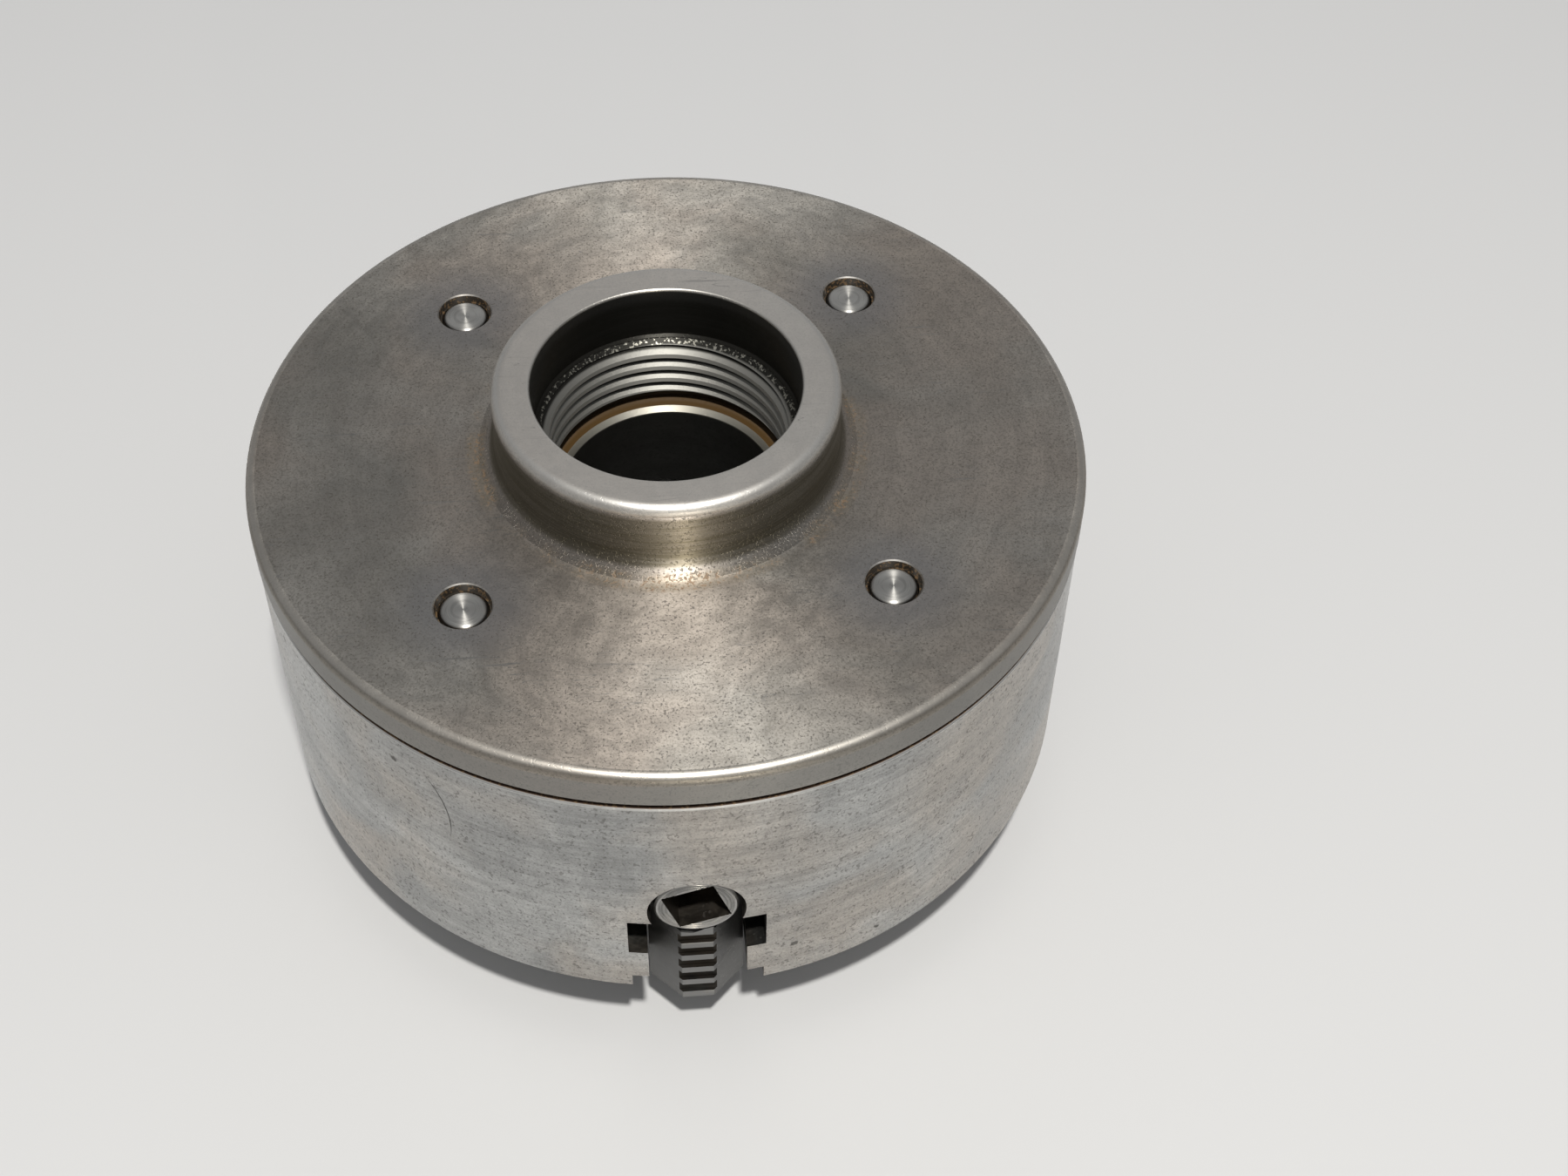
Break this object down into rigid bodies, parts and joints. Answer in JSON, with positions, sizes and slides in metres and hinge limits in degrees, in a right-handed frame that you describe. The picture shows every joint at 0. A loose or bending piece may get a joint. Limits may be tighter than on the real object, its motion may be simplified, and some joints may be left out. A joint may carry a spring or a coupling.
{
  "type": "independent lathe chuck",
  "caption": "Independent lathe chuck: slotted steel body, screw-driven reversible stepped jaws and a threaded back plate.",
  "frame": {"origin": "on the spindle axis, in the plane that the noses of the jaws stand on, at the centre of the chuck's base", "axes": "+Z along the spindle axis towards the threaded hub; -Y along jaw 1, +X along jaw 2"},
  "size_m": [0.1, 0.1, 0.0637],
  "materials": {
    "body_steel": "aged satin, turned round the side",
    "plate_steel": "aged turned face with rust in the corners",
    "jaw_steel": "ground, darkened by oil",
    "screw_steel": "turned",
    "block_steel": "machined",
    "cap_steel": "dark oxide, worn bright at the ends"
  },
  "bodies": {
    "chuck": {"chuck_body": "body_steel", "back_plate": "plate_steel", "thrust_block_1": "block_steel", "thrust_block_2": "block_steel", "thrust_block_3": "block_steel", "thrust_block_4": "block_steel", "cap_screw_1": "cap_steel", "cap_screw_2": "cap_steel", "cap_screw_3": "cap_steel", "cap_screw_4": "cap_steel"},
    "jaw_one": {"jaw_1": "jaw_steel"},
    "jaw_two": {"jaw_2": "jaw_steel"},
    "jaw_three": {"jaw_3": "jaw_steel"},
    "jaw_four": {"jaw_4": "jaw_steel"},
    "screw_one": {"jaw_screw_1": "screw_steel"},
    "screw_two": {"jaw_screw_2": "screw_steel"},
    "screw_three": {"jaw_screw_3": "screw_steel"},
    "screw_four": {"jaw_screw_4": "screw_steel"}
  },
  "joints": [
    {"name": "jaw_slide_1", "type": "slide", "parent": "chuck", "child": "jaw_one", "axis": [0, -1, 0], "range_m": [-0.01125, 0.01]},
    {"name": "jaw_slide_2", "type": "slide", "parent": "chuck", "child": "jaw_two", "axis": [1, 0, 0], "range_m": [-0.01125, 0.01]},
    {"name": "jaw_slide_3", "type": "slide", "parent": "chuck", "child": "jaw_three", "axis": [0, 1, 0], "range_m": [-0.01125, 0.01]},
    {"name": "jaw_slide_4", "type": "slide", "parent": "chuck", "child": "jaw_four", "axis": [-1, 0, 0], "range_m": [-0.01125, 0.01]},
    {"name": "screw_turn_1", "type": "hinge", "parent": "chuck", "child": "screw_one", "pos_m": [0, -0.0491, 0.0279], "axis": [0, -1, 0], "range_deg": [-1625, 1445]},
    {"name": "screw_turn_2", "type": "hinge", "parent": "chuck", "child": "screw_two", "pos_m": [0.0491, 0, 0.0279], "axis": [1, 0, 0], "range_deg": [-1625, 1445]},
    {"name": "screw_turn_3", "type": "hinge", "parent": "chuck", "child": "screw_three", "pos_m": [0, 0.0491, 0.0279], "axis": [0, 1, 0], "range_deg": [-1625, 1445]},
    {"name": "screw_turn_4", "type": "hinge", "parent": "chuck", "child": "screw_four", "pos_m": [-0.0491, 0, 0.0279], "axis": [-1, 0, 0], "range_deg": [-1625, 1445]}
  ],
  "couplings": [
    {"joint": "screw_turn_1", "follows": "jaw_slide_1", "rad_per_m": 2513.3},
    {"joint": "screw_turn_2", "follows": "jaw_slide_2", "rad_per_m": 2513.3},
    {"joint": "screw_turn_3", "follows": "jaw_slide_3", "rad_per_m": 2513.3},
    {"joint": "screw_turn_4", "follows": "jaw_slide_4", "rad_per_m": 2513.3}
  ]
}
